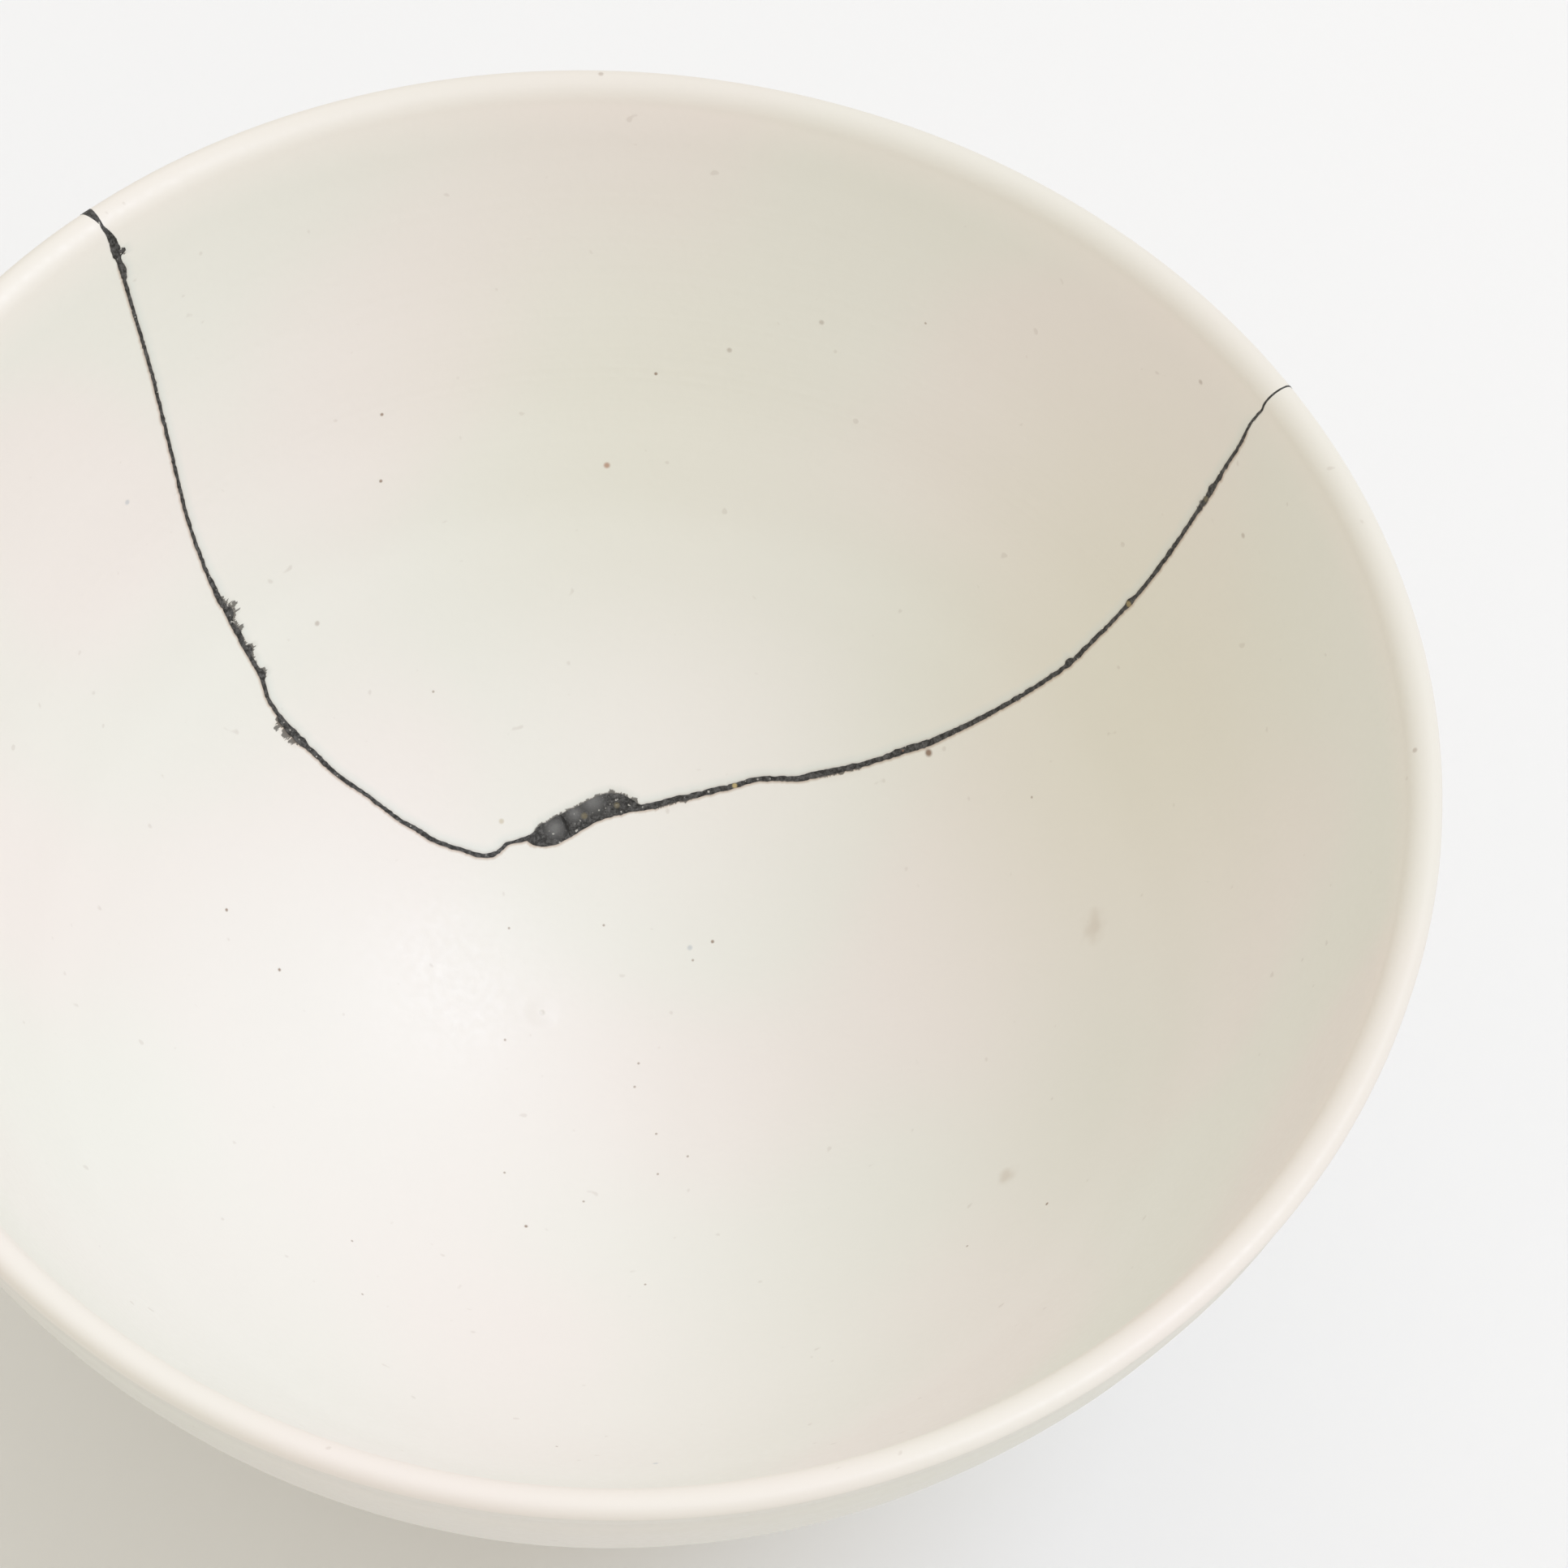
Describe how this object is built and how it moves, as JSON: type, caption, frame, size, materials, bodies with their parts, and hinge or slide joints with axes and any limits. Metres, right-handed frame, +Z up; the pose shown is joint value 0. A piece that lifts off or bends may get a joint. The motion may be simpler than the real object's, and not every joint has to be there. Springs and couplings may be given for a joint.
{
  "type": "bowl",
  "caption": "Deep white glazed bowl on a foot ring, broken from rim to rim and mended with black lacquer.",
  "frame": {"origin": "middle of the foot ring's underside, on the surface that the bowl stands on", "axes": "+Z up along the bowl's own axis, -Y to the near side and +X to the right as the picture shows it"},
  "size_m": [0.1496, 0.1504, 0.08],
  "materials": {
    "glaze": "satin white glaze with a warm cast, throwing rings and scattered iron specks",
    "lacquer": "hardened black lacquer, satin, slightly proud of the glaze"
  },
  "bodies": {
    "root": {"bowl_body": "glaze", "rim_shard": "glaze", "lacquer_seam": "lacquer"}
  },
  "joints": []
}
